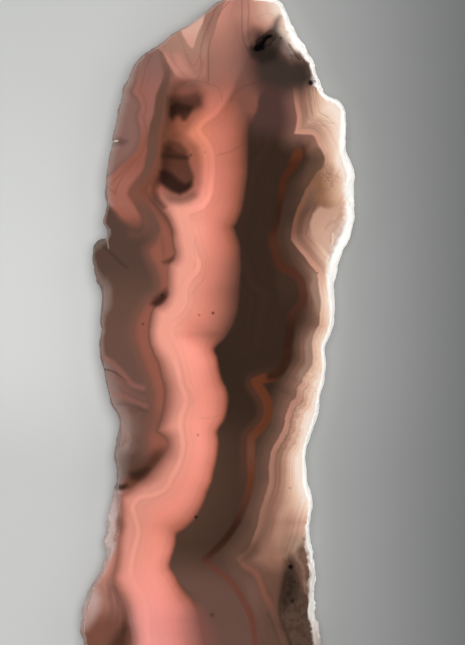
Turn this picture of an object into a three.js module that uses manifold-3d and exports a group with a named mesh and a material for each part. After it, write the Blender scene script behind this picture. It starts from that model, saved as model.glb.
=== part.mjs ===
// A slab of banded manganoan calcite, lying on its sawn underside with the polished face up.
// Millimetres. +Z up, +Y toward the narrow crest, +X toward the side with the white rind.
import * as THREE from 'three';
import { ImprovedNoise } from 'three/addons/math/ImprovedNoise.js';
import { mergeVertices } from 'three/addons/utils/BufferGeometryUtils.js';
import Module from 'manifold-3d';

// Driving dimensions
const THICKNESS = 8;            // sawn underside to polished face
const RIM_STATIONS = 460;       // stations around the rim, about 1 mm apart
const RIM_LEVELS = [0, 0.1, 0.26, 0.44, 0.62, 0.8, 0.92, 1];   // shares of the thickness
const WAIST = 0.5;              // share of the thickness where the rim stands out furthest
const UNDER_INSET = 0.7;        // how far the underside edge is drawn in
const LEDGE_LENGTH = 4.1;       // size of one broken crystal ledge along the rim
const LEDGE_HEIGHT = 2.4;       // and up the rim
const ROUGH_BASE = 0.3;         // depth of the ledges on the plainly broken edge
const ROUGH_GAIN = 0.36;        // extra ledge depth for each millimetre of slope
const ROUGH_MOST = 1.2;
const LEDGE_LEAN = 0.3;         // share of the ledge depth that stands outside the rim line
const GRAIN = 0.2;              // fine unevenness over the ledges
const LOT_SPREAD = 1.7;         // how far apart the depths of neighbouring ledges lie

// The rim seen from above: [x, y, how far the polished face stops short of it].
const CREST = [
  [0.9, 87.5, 0.5], [4.1, 88.1, 0.6], [8.4, 88.2, 0.8], [12.4, 88, 0.8],
];
const RIND_SIDE = [
  [15.4, 86.9, 0.8], [16.9, 85.2, 0.9], [17.9, 83.6, 1], [18.1, 82, 1], [19.4, 80.1, 1.8],
  [20.6, 78.2, 2.3], [21.9, 76.1, 2], [22.9, 73.6, 1.1], [23.9, 71.1, 0.8], [24.6, 68.6, 1.1],
  [25.4, 66.1, 1.3], [26.4, 64, 0.6], [27.9, 63, 0.5], [29.6, 62.6, 0.5], [31.1, 61.4, 0.6],
  [32, 59.4, 0.5], [32.2, 56.1, 0.4], [32.1, 50.6, 0.6], [32.9, 47.6, 1.8], [34, 44.9, 2.5],
  [34.6, 42.1, 2.8], [34.7, 38.6, 2.3], [34.6, 35.4, 2], [33.9, 32.4, 2], [33, 29.1, 2.3],
  [32, 25.4, 3], [30.8, 22.4, 2.8], [29.8, 19.6, 2], [29.1, 17.1, 1.4], [29, 13.4, 1.1],
  [29.4, 9.4, 0.6], [28.6, 5.4, 0.5], [27.5, 2.4, 0.5], [26.6, 0.5, 0.5], [26.9, -1.9, 0.8],
  [27.1, -4.6, 0.8], [26.5, -8.1, 0.5], [25.6, -11.1, 0.4], [25.2, -15.4, 0.4],
  [24.1, -19.4, 0.4], [22.8, -22.9, 0.5], [22, -26.4, 0.6], [22.6, -30.9, 1.3],
  [22.9, -34.4, 1.5], [23.6, -36.6, 1], [23.6, -39.9, 0.6], [23.1, -42.9, 0.5],
  [23.1, -46.1, 0.8], [23.8, -49.9, 1.5], [23.8, -53.1, 0.9], [24.4, -56.9, 1.1],
  [23.8, -61.4, 1], [24.4, -65.9, 1.5], [25, -70.4, 1.4], [25.4, -74.9, 1.1],
];
const FOOT = [
  [25.6, -78.4, 1], [24.1, -82.4, 1], [20.1, -85.1, 1], [14.4, -87.1, 1], [7.4, -88.1, 1],
  [0.4, -88.2, 1], [-7.1, -87.4, 1], [-14.6, -85.9, 1], [-21.1, -83.6, 1], [-26.6, -81.1, 1],
  [-30.9, -78.6, 1], [-33.5, -75.4, 1], [-34.6, -71.4, 1], [-34.5, -67.1, 1],
];
const BROKEN_SIDE = [
  [-33.4, -62.9, 1], [-31.9, -59.6, 0.9], [-30.6, -57.4, 0.8], [-29.4, -53.9, 1.5],
  [-28.6, -50.6, 2.3], [-28.4, -47.4, 2.9], [-28, -43.9, 3], [-27.4, -40.1, 2.3],
  [-26.5, -36.6, 1.5], [-25.7, -34.4, 0.5], [-25.4, -31.4, 0.6], [-26.2, -27.4, 0.8],
  [-25.5, -23.1, 0.9], [-24.8, -19.6, 0.5], [-25, -17, 0.3], [-26.9, -13.9, 0.3],
  [-28.1, -9.9, 0.3], [-28.8, -5.4, 0.3], [-29.6, -1.4, 0.3], [-29.8, 2.1, 0.3],
  [-29.4, 5.1, 0.3], [-29.6, 6.9, 0.3], [-29.2, 10.6, 0.4], [-29.4, 15.1, 0.5],
  [-30.9, 17.1, 0.8], [-31.4, 20.6, 0.8], [-31.5, 25, 0.5], [-30.4, 26.9, 0.8],
  [-29.2, 27.5, 0.8], [-28.1, 27.4, 0.4], [-27.9, 29.4, 0.3], [-29.1, 31.6, 0.3],
  [-28.5, 34.1, 0.3], [-28.1, 35.8, 0.3], [-28.4, 39.1, 0.3], [-28.4, 43.1, 0.3],
  [-27.8, 47.4, 0.3], [-26.9, 50.9, 0.4], [-26.1, 51.6, 0.4], [-26.9, 52.2, 0.3],
  [-26.1, 55.6, 0.4], [-25.1, 60.4, 0.5], [-23.8, 65.1, 0.4], [-22.4, 69.1, 0.4],
  [-20.4, 72.1, 0.3], [-17.6, 74.4, 0.3], [-15, 75.8, 0.3], [-12.4, 77.9, 0.3],
  [-9.9, 79.6, 0.4], [-6.6, 81.6, 0.5], [-3.4, 84.2, 0.6], [-1.4, 86, 0.6],
];

// Open pits in the polished face: centre, half length, half width, depth, bearing of the length
const PITS = [
  { name: 'crest vug', x: 11.3, y: 76.7, long: 3.4, wide: 1.5, deep: 2.6, bearing: 42 },
  { name: 'crest crack', x: 14.2, y: 80.6, long: 2.6, wide: 0.5, deep: 1.2, bearing: 66 },
  { name: 'rind recess', x: 20.2, y: 68.7, long: 3.1, wide: 1.7, deep: 1.5, bearing: 128 },
  { name: 'rind recess foot', x: 23.2, y: 66.5, long: 1.1, wide: 0.8, deep: 2.2, bearing: 0 },
  { name: 'matrix recess', x: 18.3, y: -61.5, long: 9.5, wide: 2.5, deep: 0.7, bearing: 92 },
  { name: 'matrix pit upper', x: 18.0, y: -54.6, long: 0.9, wide: 0.6, deep: 1.3, bearing: 70 },
  { name: 'matrix pit lower', x: 18.6, y: -63.1, long: 0.9, wide: 0.7, deep: 1.5, bearing: 20 },
];

const noise = new ImprovedNoise();

// A fixed value between 0 and 1 for a pair of whole numbers
function lot(i, j) {
  const value = noise.noise(i * 0.713 + 0.37, j * 0.917 + 0.53, 6.41);
  return THREE.MathUtils.clamp(0.5 + LOT_SPREAD * value, 0, 1);
}

// Broken calcite steps back in blocky ledges: each block along and up the rim keeps one depth.
function ledge(along, height, blocksAround) {
  const i = Math.floor(along / LEDGE_LENGTH);
  const j = Math.floor(height / LEDGE_HEIGHT);
  let nearest = Infinity;
  let depth = 0;
  for (let di = -1; di <= 1; di += 1) {
    for (let dj = -1; dj <= 1; dj += 1) {
      const block = THREE.MathUtils.euclideanModulo(i + di, blocksAround);
      const a = (i + di + 0.2 + 0.6 * lot(block, j + dj)) * LEDGE_LENGTH;
      const h = (j + dj + 0.2 + 0.6 * lot(j + dj + 40, block)) * LEDGE_HEIGHT;
      const distance = Math.hypot((along - a) / LEDGE_LENGTH, (height - h) / LEDGE_HEIGHT);
      if (distance < nearest) {
        nearest = distance;
        depth = lot(block + 90, j + dj + 7);
      }
    }
  }
  return depth;
}

// The stations: a closed curve through the rim points, its third number carrying the slope
function rimStations() {
  const points = [...CREST, ...RIND_SIDE, ...FOOT, ...BROKEN_SIDE];
  const curve = new THREE.CatmullRomCurve3(
    points.map(([x, y, slope]) => new THREE.Vector3(x, y, slope)), true, 'centripetal');
  curve.arcLengthDivisions = 1600;
  const stations = curve.getSpacedPoints(RIM_STATIONS).slice(0, RIM_STATIONS);
  const count = stations.length;
  return stations.map((p, k) => {
    const before = stations[(k + count - 3) % count];
    const after = stations[(k + 3) % count];
    const run = new THREE.Vector2(after.x - before.x, after.y - before.y).normalize();
    // stations run clockwise seen from above, so the outward side is on the left of the run
    return { x: p.x, y: p.y, slope: Math.max(0.2, p.z), outX: -run.y, outY: run.x };
  });
}

function ring(stations, level) {
  const height = level * THICKNESS;
  const blocksAround = Math.round(RIM_STATIONS / LEDGE_LENGTH);
  const pitch = (blocksAround * LEDGE_LENGTH) / stations.length;
  const above = Math.max(0, (level - WAIST) / (1 - WAIST));
  const below = Math.max(0, (WAIST - level) / WAIST);
  const edge = level === 0 || level === 1 ? 0.25 : 1;
  return stations.map((s, k) => {
    const rough = Math.min(ROUGH_MOST, ROUGH_BASE + ROUGH_GAIN * s.slope) * edge;
    const grain = noise.noise(s.x * 0.55, s.y * 0.55, height * 0.6 + 3.3) * GRAIN * edge;
    const inset = s.slope * above ** 1.5 + UNDER_INSET * below ** 2;
    const step = LEDGE_LEAN - ledge(k * pitch, height + 1.3, blocksAround);
    const out = grain - inset + rough * step;
    return new THREE.Vector3(s.x + s.outX * out, s.y + s.outY * out, height);
  });
}

// Rings stacked into a wall, with a flat sawn face below and a flat polished face above
function blank() {
  const stations = rimStations();
  const rings = RIM_LEVELS.map((level) => ring(stations, level));
  const count = stations.length;
  const positions = [];
  rings.forEach((points) => points.forEach((p) => positions.push(p.x, p.y, p.z)));
  const index = [];
  for (let r = 0; r + 1 < rings.length; r += 1) {
    for (let k = 0; k < count; k += 1) {
      const next = (k + 1) % count;
      const a = r * count + k;
      const b = r * count + next;
      const c = (r + 1) * count + next;
      const d = (r + 1) * count + k;
      index.push(a, d, c, a, c, b);
    }
  }
  const face = (points) => THREE.ShapeUtils.triangulateShape(
    points.map((p) => new THREE.Vector2(p.x, p.y)), []);
  const top = (rings.length - 1) * count;
  face(rings[rings.length - 1]).forEach(([a, b, c]) => index.push(top + a, top + b, top + c));
  face(rings[0]).forEach(([a, b, c]) => index.push(a, c, b));
  const geometry = new THREE.BufferGeometry();
  geometry.setAttribute('position', new THREE.Float32BufferAttribute(positions, 3));
  geometry.setIndex(index);
  return geometry;
}

// A lumpy lens to be taken out of the polished face
function pitCutter(pit, k) {
  const fineness = pit.long > 2 ? 3 : 2;
  const geometry = new THREE.IcosahedronGeometry(1, fineness);
  const at = geometry.attributes.position;
  for (let i = 0; i < at.count; i += 1) {
    const p = new THREE.Vector3().fromBufferAttribute(at, i);
    const lump = 1 + 0.55 * noise.noise(p.x * 1.7 + k * 3.1, p.y * 1.7 + 0.4, p.z * 1.7 + k);
    at.setXYZ(i, p.x * pit.long * lump, p.y * pit.wide * lump, p.z * pit.deep * lump);
  }
  geometry.rotateZ(THREE.MathUtils.degToRad(pit.bearing));
  geometry.translate(pit.x, pit.y, THICKNESS);
  return geometry;
}

const wasm = await Module();
wasm.setup();

function toSolid(source) {
  const geometry = source.clone();
  geometry.deleteAttribute('normal');
  geometry.deleteAttribute('uv');
  const merged = mergeVertices(geometry, 1e-4);
  return new wasm.Manifold(new wasm.Mesh({
    numProp: 3,
    vertProperties: new Float32Array(merged.attributes.position.array),
    triVerts: new Uint32Array(merged.index.array),
  }));
}

function toGeometry(solid) {
  const mesh = solid.getMesh();
  const geometry = new THREE.BufferGeometry();
  geometry.setAttribute('position', new THREE.Float32BufferAttribute(mesh.vertProperties, 3));
  geometry.setIndex(Array.from(mesh.triVerts));
  return geometry;
}

function slab() {
  let solid = toSolid(blank());
  PITS.forEach((pit, k) => {
    solid = solid.subtract(toSolid(pitCutter(pit, k)));
  });
  const geometry = toGeometry(solid);
  // the middle of the underside becomes the origin
  geometry.computeBoundingBox();
  const { min, max } = geometry.boundingBox;
  geometry.translate(-(min.x + max.x) / 2, -(min.y + max.y) / 2, -min.z);
  const faceted = geometry.toNonIndexed();
  faceted.computeVertexNormals();
  return faceted;
}

const stone = new THREE.MeshStandardMaterial({
  color: 0xb98a78, roughness: 0.35, metalness: 0, flatShading: true,
});

const part = new THREE.Group();
part.name = 'manganoan_calcite_slab';
const calcite = new THREE.Mesh(slab(), stone);
calcite.name = 'calcite_slab';
part.add(calcite);

export default part;
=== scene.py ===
import math
import random

import bpy
import numpy as np
from bpy.props import FloatProperty, FloatVectorProperty, PointerProperty
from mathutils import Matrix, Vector
from mathutils.kdtree import KDTree


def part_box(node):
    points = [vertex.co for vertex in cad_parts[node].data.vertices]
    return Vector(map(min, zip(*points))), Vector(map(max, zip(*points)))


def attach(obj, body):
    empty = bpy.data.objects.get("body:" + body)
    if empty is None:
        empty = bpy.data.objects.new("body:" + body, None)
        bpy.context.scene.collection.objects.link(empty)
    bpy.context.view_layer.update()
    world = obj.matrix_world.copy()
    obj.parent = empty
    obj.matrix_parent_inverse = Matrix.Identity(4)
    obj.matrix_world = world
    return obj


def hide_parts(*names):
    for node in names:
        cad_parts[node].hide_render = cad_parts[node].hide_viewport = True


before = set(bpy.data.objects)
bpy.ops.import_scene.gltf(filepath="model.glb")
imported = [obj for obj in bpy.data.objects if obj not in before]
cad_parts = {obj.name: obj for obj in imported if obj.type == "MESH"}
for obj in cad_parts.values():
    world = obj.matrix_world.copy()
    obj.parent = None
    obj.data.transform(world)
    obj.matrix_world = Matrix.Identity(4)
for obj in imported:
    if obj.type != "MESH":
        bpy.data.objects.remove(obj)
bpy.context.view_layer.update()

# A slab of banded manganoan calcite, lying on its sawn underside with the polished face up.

bl_info = {
    "name": "Banded Calcite Slab",
    "version": (1, 0, 0),
    "blender": (4, 5, 0),
    "location": "3D View > Sidebar > Calcite",
    "description": "Dresses the sawn calcite slab with its growth bands, rind and crystal rim",
    "category": "Object",
}

NODE = "calcite_slab"
LOW, HIGH = (Vector(corner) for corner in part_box(NODE))
THICKNESS = HIGH.z - LOW.z

# The markings are drawn on a sheet of quarter-millimetre squares laid over the polished face:
# x runs to the right, y runs down from the crest.
SQUARE = 0.00025
SHEET_X = 218.2
SHEET_Y = 348.0
SHEET_END = 700          # just past the foot
BAND_LEAN = 0.2          # sideways drift of the bands for each unit of depth in the stone
FAR_LEFT = -60           # beyond the slab, where the area left of a growth line is closed
REACH = 30               # patches and marks are not measured further out than this

# Growth lines, each from the crest to the foot. A point given twice is a sharp re-entrant.
ROSE_EDGE = [
    [(148, 44), (145, 55), (141, 65), (138, 75), (136, 85), (133, 92), (138, 98), (141, 108),
     (138, 115), (139, 122), (141, 131), (140, 140), (137, 150), (130, 158), (122, 165),
     (115, 172), (108, 178), (104, 183), (80, 200)],
    [(70, 545), (85, 560), (98, 578), (103, 592), (104, 602), (101, 615), (96, 628), (90, 645),
     (80, 680)],
]
MAUVE_EDGE = [
    [(158, 40), (158, 47), (160, 60), (163, 70), (163, 78), (160, 85), (156, 95), (154.5, 105),
     (153, 115), (151, 122), (149, 130), (147, 140), (147, 150), (145, 160), (143, 170),
     (137, 178), (131, 186), (128, 193), (131, 200), (137, 207), (142, 215), (144, 222),
     (143, 230), (135, 233), (127, 227), (118, 218), (110, 207), (104, 200), (80, 180)],
    [(95, 545), (104, 560), (107, 575), (110, 585), (111, 597), (113, 608), (110, 622),
     (107, 640), (100, 690)],
]
RUST_EDGE = [
    [(160, 30), (162, 40), (166, 52), (169, 62), (171, 72), (170, 82), (167, 90), (164, 100),
     (163, 112), (161, 122), (158, 135), (157, 150), (154, 163), (149, 175), (143, 184),
     (139, 190), (141, 196), (147, 203), (153, 211), (158, 220), (161, 230), (161, 230),
     (156, 243), (150, 250), (150, 250), (152, 258), (157, 267), (160, 277), (161, 287),
     (157, 297), (150, 301), (144, 309), (138.5, 320), (136.5, 332), (138, 342), (142, 355),
     (147, 368), (152, 380), (155, 395), (155, 410), (152, 425), (150, 435), (150, 447),
     (148, 462), (140, 470), (130, 478), (122, 486), (116, 490), (100, 497)],
    [(96, 500), (101, 520), (101, 540), (104, 556), (107, 566), (108, 575), (110, 583),
     (113, 592), (115, 603), (116, 615), (113, 628), (110, 645), (104, 690)],
]
SALMON_EDGE = [
    [(159, 28), (161, 40), (166, 50), (171, 60), (173, 70), (172, 80), (170, 90), (168, 100),
     (168, 115), (168, 128), (164, 138), (162, 150), (161, 162), (159, 170), (154, 178),
     (149, 186), (147, 192), (147, 192), (151, 199), (158, 207), (165, 215), (170, 223),
     (173, 233), (174, 245), (176, 253), (174, 259), (169, 264), (168, 270), (168, 285),
     (167, 295), (163, 303), (157, 306), (153.5, 309), (151.5, 318), (149.5, 330), (150, 340),
     (154, 352), (159, 362), (162, 374), (165, 388), (165, 402), (163, 415), (159, 427),
     (157, 431), (157, 431), (163, 435), (168, 440), (167, 449), (162, 456), (157, 463),
     (151, 471), (146, 477), (138, 482), (131, 488), (124, 493), (120, 497), (121, 510),
     (121, 525), (119, 540), (118, 553), (115, 567), (112, 579), (116, 590), (122, 600),
     (126, 610), (128, 622), (131, 635), (131, 645), (129, 660), (127, 690)],
]
PALE_SEAM = [
    [(244, -20), (244, 10), (243, 30), (242, 48), (238, 70), (230, 90), (222, 105), (215, 115),
     (205, 122), (200, 130), (207, 140), (212, 150), (214, 165), (213, 180), (211, 195),
     (203, 207), (190, 212), (186, 214), (186, 214), (189, 225), (192, 240), (196, 255),
     (200, 262), (198, 272), (190, 280), (186, 290), (186, 300), (180, 312), (168, 322),
     (164, 328), (164, 328), (168, 340), (175, 355), (179, 370), (182, 385), (187, 395),
     (187, 405), (183, 415), (182, 430), (184, 445), (180, 465), (172, 480), (168, 488),
     (155, 496), (140, 499), (134, 507), (137, 518), (140, 530), (137, 545), (133, 560),
     (132, 572), (137, 585), (145, 597), (148, 610), (149, 630), (150, 645), (150, 700)],
]
UMBER_EDGE = [
    [(250, -20), (252, 20), (256, 45), (258, 60), (259, 85), (258, 100), (256, 112), (252, 122),
     (249, 130), (248, 138), (248, 138), (248, 150), (248, 165), (247, 180), (245, 195),
     (242, 210), (238, 220), (234, 227), (234, 227), (237, 235), (240, 245), (241, 258),
     (241, 270), (240, 290), (238, 310), (233, 325), (225, 338), (217, 345), (214, 350),
     (214, 350), (217, 358), (219, 370), (222, 380), (227, 390), (228, 400), (227, 410),
     (224, 420), (219, 428), (217, 432), (217, 432), (218, 440), (218, 450), (216, 460),
     (214, 470), (212, 480), (208, 490), (205, 500), (200, 510), (194, 520), (186, 528),
     (177, 534), (177, 534), (175, 545), (172, 555), (170, 563), (170, 567), (170, 567),
     (175, 575), (180, 584), (186, 592), (195, 601), (203, 612), (209, 625), (213, 640),
     (218, 700)],
]
RED_THREAD = [
    [(308, 130), (303, 145), (298, 155), (292, 168), (284, 180), (282, 190), (279, 205),
     (277, 220), (274, 230), (272, 240), (276, 252), (278, 262), (282, 267), (292, 272),
     (300, 280), (303, 290), (303, 300), (298, 308), (292, 318), (290, 330), (288, 345),
     (287, 357), (283, 367), (275, 375), (263, 379), (256, 382), (256, 382), (261, 390),
     (265, 396), (268, 405), (268, 415), (264, 424), (257, 432), (252, 438), (251, 450),
     (251, 465), (251, 478), (249, 489), (246, 500), (242, 511), (235, 526), (224, 541),
     (212, 553), (204, 560), (204, 560), (215, 569), (227, 578), (236, 588), (243, 600),
     (250, 613), (254, 628), (255, 645), (257, 700)],
]
PEACH_EDGE = [
    [(249, -20), (251, 5), (254, 20), (262, 30), (275, 45), (288, 62), (293, 75), (293, 90),
     (295, 105), (297, 120), (294, 134), (294, 134), (304, 134.5), (312, 135), (316, 139),
     (318, 144), (322, 151), (325, 159), (323, 168), (317, 172), (315, 176), (310, 183),
     (306, 189), (303, 196), (300, 203), (296, 212), (293, 222), (291, 232), (291, 240),
     (291, 240), (297, 248), (304, 256), (310, 264), (316, 271), (318, 280), (319, 290),
     (321, 300), (320, 312), (319, 325), (315, 332), (313, 338), (312, 345), (313, 352),
     (312, 365), (308, 371), (303, 378), (301, 384), (297, 388), (296, 398), (291, 402),
     (288, 410), (285, 417), (284, 426), (280, 435), (274, 445), (271, 452), (269, 465),
     (269, 480), (267, 490), (264, 500), (260, 511), (258, 522), (254, 535), (248, 548),
     (236, 559), (236, 559), (243, 568), (252, 574), (257, 584), (261, 596), (267, 608),
     (272, 622), (276, 640), (280, 700)],
]

# Closed patches of the stone, drawn as outlines.
FOLD = [(150, 44), (160, 41), (171, 32), (181, 25), (190, 18), (214, -6), (229, -6), (222, 8),
        (218, 16), (214, 27), (210, 38), (207, 50), (206, 62), (206, 78), (198, 82), (190, 81),
        (182, 81), (175, 76), (167, 62), (162, 52)]
FOLD_GLOW = [(173, 53), (180, 54), (184, 60), (187, 66), (192, 72), (195, 78), (190, 81),
             (182, 83), (174, 86), (170, 82), (173, 77), (176, 70), (174, 62)]
WEDGE = [(180, 28), (183, 36), (187, 43), (193, 51), (195, 43), (199, 32), (202, 24),
         (205, 13), (211, 4), (204, -6), (168, 15)]
LENS = [(320, 206), (313, 215), (310, 226), (312, 235), (318, 243), (326, 252), (331, 260),
        (336, 252), (341, 240), (345, 225), (347, 212), (346, 201), (336, 206), (328, 209)]
OCHRE = [(325, 163), (322, 171), (316, 178), (312, 186), (313, 195), (318, 202), (326, 206),
         (335, 206), (341, 200), (340, 189), (335, 178), (330, 167)]
BROWN_LOBE = [(314, 146), (321, 149), (325, 157), (324, 167), (318, 172), (311, 178), (308, 186),
              (303, 180), (309, 168), (312, 156)]
MATRIX = [(293, 556), (288, 571), (283, 590), (279, 610), (280, 625), (287, 640), (296, 700),
          (322, 700), (317, 640), (313, 628), (309, 612), (307, 597), (302, 590), (297, 577)]
TAN_CRUST = [(299, 548), (304, 543), (310, 556), (315, 580), (312, 592), (304, 592),
             (300, 579), (295, 563)]
# The next two patches, in the recess at the crest and round its vug, are dark grey stone deepened
# with painted shade.
DUSK = [(254, 54), (262, 51), (268, 46), (273, 42), (279, 47), (285, 55), (291, 60), (299, 59),
        (309, 56), (315, 67), (315, 83), (302, 90), (284, 91), (270, 89), (258, 84), (253, 68)]
CREST_SHADE = [(250, 48), (255, 42), (258, 34), (265, 31), (271, 26), (275, 20), (280, 15), (281, 17),
        (279, 22), (279, 30), (283, 38), (281, 48), (272, 55), (260, 58), (252, 56)]
VUG = [(253, 49), (256.5, 45.5), (260, 43), (263.5, 40.5), (265, 37.5), (268, 34.5), (272.5, 34),
       (272.5, 37), (269, 39.5), (267, 43), (266, 46), (264, 50), (258, 51.5), (254, 50.5)]
PALE_LOBE = [(76, 600), (84, 584), (92, 583), (97, 590), (100, 600), (99, 610), (95, 618),
             (88, 628), (76, 636)]
CHIP = [(88, 236), (104, 240), (108, 248), (112, 256), (116, 270), (108, 288), (96, 300),
        (84, 290)]
CHIP_GLOW = [(96, 284), (108, 276), (113, 290), (110, 303), (104, 312), (96, 310)]
CHIP_TOP = [(92, 240), (100, 237), (106, 238), (107, 243), (103, 246), (98, 250), (92, 254)]

# Soft shadows in the translucent stone: (outline, width of the soft edge, share of light lost)
SHADOWS = [
    ([(172, 90), (182, 81), (196, 83), (206, 93), (206, 108), (197, 119), (190, 130), (182, 138),
      (174, 141), (169, 137), (168, 118), (168, 101)], 12, 0.22),
    ([(168, 97), (174, 95), (182, 95), (190, 94), (197, 92), (202, 97), (202, 106), (196, 110),
      (190, 113), (185, 118), (178, 118), (172, 121), (168, 112)], 8, 0.31),
    ([(171, 100), (178, 98), (190, 99), (199, 98), (201, 104), (195, 109), (187, 112), (178, 112),
      (172, 116), (170, 108)], 7, 0.16),
    ([(170, 107), (176, 102), (184, 104), (193, 106), (191, 113), (186, 121), (182, 121),
      (180, 115), (175, 115), (172, 120), (169, 116)], 5, 0.4),
    ([(166, 136), (176, 133), (190, 138), (199, 147), (201, 160), (202, 184), (196, 198),
      (184, 203), (170, 203), (160, 191), (161, 177), (163, 158)], 12, 0.22),
    ([(163, 145), (168, 140), (180, 142), (187, 150), (189, 158), (175, 158), (162, 156)],
     7, 0.38),
    ([(162, 154), (175, 156), (188, 157), (190, 166), (194, 176), (193, 186), (187, 192),
      (180, 195), (171, 190), (163, 184), (160, 177), (162, 164)], 5, 0.42),
    ([(159, 171), (165, 170), (172, 173), (179, 180), (185, 184), (191, 181), (191, 187),
      (186, 191), (180, 194), (172, 193), (164, 188), (158, 180)], 6, 0.46),
    ([(166, 147), (170, 146), (178, 152), (187, 156), (188, 159), (178, 159), (168, 157),
      (165, 153)], 4, 0.2),
    ([(157, 176), (163, 182), (158, 190), (160, 198), (167, 207), (163, 209), (155, 201),
      (150, 193), (152, 184)], 6, 0.38),
    ([(160, 190), (172, 196), (184, 197), (193, 192), (197, 195), (190, 202), (180, 204),
      (168, 201)], 11, 0.2),
    ([(280, 550), (288, 536), (300, 532), (306, 545), (300, 556), (286, 562)], 14, 0.18),
    ([(150, 304), (154, 298), (160, 293), (166, 289), (168, 294), (165, 300), (159, 305),
      (154, 306)], 7, 0.42),
    ([(152, 304), (158, 299), (164, 294), (167, 297), (161, 304), (155, 306)], 4, 0.25),
    ([(162, 261), (168, 259), (173, 256), (174, 260), (169, 264), (163, 264)], 4, 0.28),
    ([(118, 458), (134, 452), (152, 454), (163, 450), (160, 461), (152, 470), (142, 478),
      (131, 483), (119, 480), (113, 468)], 18, 0.1),
    ([(128, 472), (136, 466), (146, 460), (154, 452), (161, 449), (162, 456), (155, 465),
      (147, 474), (139, 480), (131, 480)], 12, 0.2),
    ([(130, 473), (138, 470), (147, 467), (150, 469), (144, 476), (138, 480), (131, 479)],
     7, 0.3),
    ([(116, 484), (121, 485), (127, 484), (128, 486), (123, 490), (117, 489)], 5, 0.5),
    ([(117, 517), (122, 518), (125, 526), (122, 533), (117, 530)], 7, 0.15),
    ([(108, 648), (116, 634), (124, 624), (128, 628), (127, 645), (125, 668), (100, 668)],
     12, 0.34),
    ([(102, 139), (120, 138), (128, 141), (124, 145), (104, 146)], 6, 0.22),
    ([(284, 560), (290, 555), (296, 562), (297, 578), (298, 592), (290, 604), (282, 612),
      (279, 602), (281, 584)], 9, 0.3),
    ([(148, 196), (156, 198), (170, 214), (176, 234), (172, 236), (162, 218)], 6, 0.12),
    ([(250, 48), (258, 46), (270, 46), (278, 52), (276, 60), (262, 64), (252, 58)], 10, 0.3),
    ([(243, 36), (252, 27), (262, 28), (263, 44), (252, 52), (245, 48)], 9, 0.2),
    ([(240, 562), (242, 552), (250, 543), (258, 542), (258, 552), (250, 560)], 10, 0.14),
]

# Thin marks: (points, half width, strength from 0 to 1)
DARK_MARKS = [
    ([(163, 44), (168, 55), (176, 65), (184, 75), (193, 80), (201, 74), (204, 60)], 0.7, 0.14),
    ([(178, 33), (183, 45), (188, 56), (194, 66), (199, 57), (203, 42), (209, 20)], 0.6, 0.16),
    ([(183, 50), (189, 62), (196, 72), (202, 62)], 0.6, 0.12),
    ([(229, 2), (221, 11), (217, 20), (214, 31), (210, 41), (208.5, 52), (208.5, 66),
      (208.5, 82)], 0.9, 0.26),
    ([(222, -2), (215, 10), (211, 20), (207, 30), (202, 42), (200.5, 52), (201, 62), (200, 72)],
     0.9, 0.24),
    ([(242, -2), (242, 13), (242, 30), (244, 42), (249, 53), (256, 60)], 0.9, 0.24),
    ([(248, -2), (249, 10), (248, 24), (249, 38), (253, 48)], 0.9, 0.2),
    ([(257, 19), (262, 15), (268, 13), (276, 17)], 0.7, 0.1),
    ([(180, 84), (191, 81), (199, 81), (208, 84), (217, 87), (221, 92), (222, 101)], 0.8, 0.13),
    ([(231, 101), (235, 93), (241, 88), (254, 83)], 1.4, 0.14),
    ([(218, 155), (229, 152), (239, 147), (247, 142)], 1.0, 0.16),
    ([(165, 152), (170, 155), (178, 156), (186, 158), (191, 155)], 1.6, 0.2),
    ([(104, 247), (112, 254), (119, 261), (126, 267)], 1.9, 0.3),
    ([(114, 588), (119, 600), (123, 610), (124.5, 620), (124, 632)], 2.6, 0.26),
    ([(196, 236), (194, 250), (196, 262), (194, 268)], 0.7, 0.08),
    ([(206, 262), (206, 268), (203, 280), (195, 290), (191, 296)], 0.8, 0.07),
    ([(189, 389), (193, 398), (192, 406)], 0.9, 0.08),
    ([(200, 418), (210, 418), (221, 415)], 0.8, 0.08),
    ([(104, 369), (112, 371), (119, 375), (127, 381)], 1.1, 0.5),
    ([(289.5, 45), (294, 52), (299, 59)], 1.3, 0.55),
    ([(303, 147), (304, 158), (301, 167), (292, 176), (285, 182)], 1.8, 0.45),
    ([(276, 196), (275, 208), (276, 222)], 1.0, 0.45),
    ([(287, 574), (283, 590), (279.5, 606), (281, 620), (287, 634), (293, 650)], 1.9, 0.42),
    ([(268, 614), (274, 628), (282, 650)], 1.8, 0.22),
    ([(162, 238), (163, 248), (164, 256)], 2.0, 0.14),
    ([(120, 404), (131, 406), (146, 411)], 2.2, 0.2),
    ([(131, 409), (133, 420), (134, 432), (132, 446)], 3.2, 0.16),
    ([(118, 447), (127, 441), (137, 440)], 2.0, 0.12),
    ([(305, 90), (306, 105), (308, 117), (316, 124), (330, 127)], 0.8, 0.14),
    ([(310, 92), (311, 104), (313, 114), (321, 120), (334, 123)], 0.8, 0.14),
    ([(315, 96), (316, 105), (319, 112), (328, 117)], 0.8, 0.12),
    ([(326, 228), (331, 222), (336, 222), (341, 215)], 2.0, 0.14),
    ([(331, 240), (333, 230), (337, 226)], 2.2, 0.14),
    ([(311, 83), (314, 81)], 1.8, 0.8),
    ([(306, 536), (303, 542), (298, 552)], 2.4, 0.2),
]
PALE_MARKS = [
    # The first is a painted highlight along the edge of the face above the chip.
    ([(106.5, 234), (107.5, 241), (108.5, 248)], 0.8, 0.2),
    ([(109, 141.5), (117, 141)], 1.0, 0.7),
    ([(119, 421), (124, 430), (129, 438), (126, 447)], 2.6, 0.06),
    ([(298, 560), (303, 568), (304, 580), (306, 592)], 1.8, 0.07),
    ([(333, 234), (332.5, 246)], 1.1, 0.7),
    ([(245, 2), (245.5, 14), (245, 30), (247, 42)], 2.6, 0.03),
]
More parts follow.
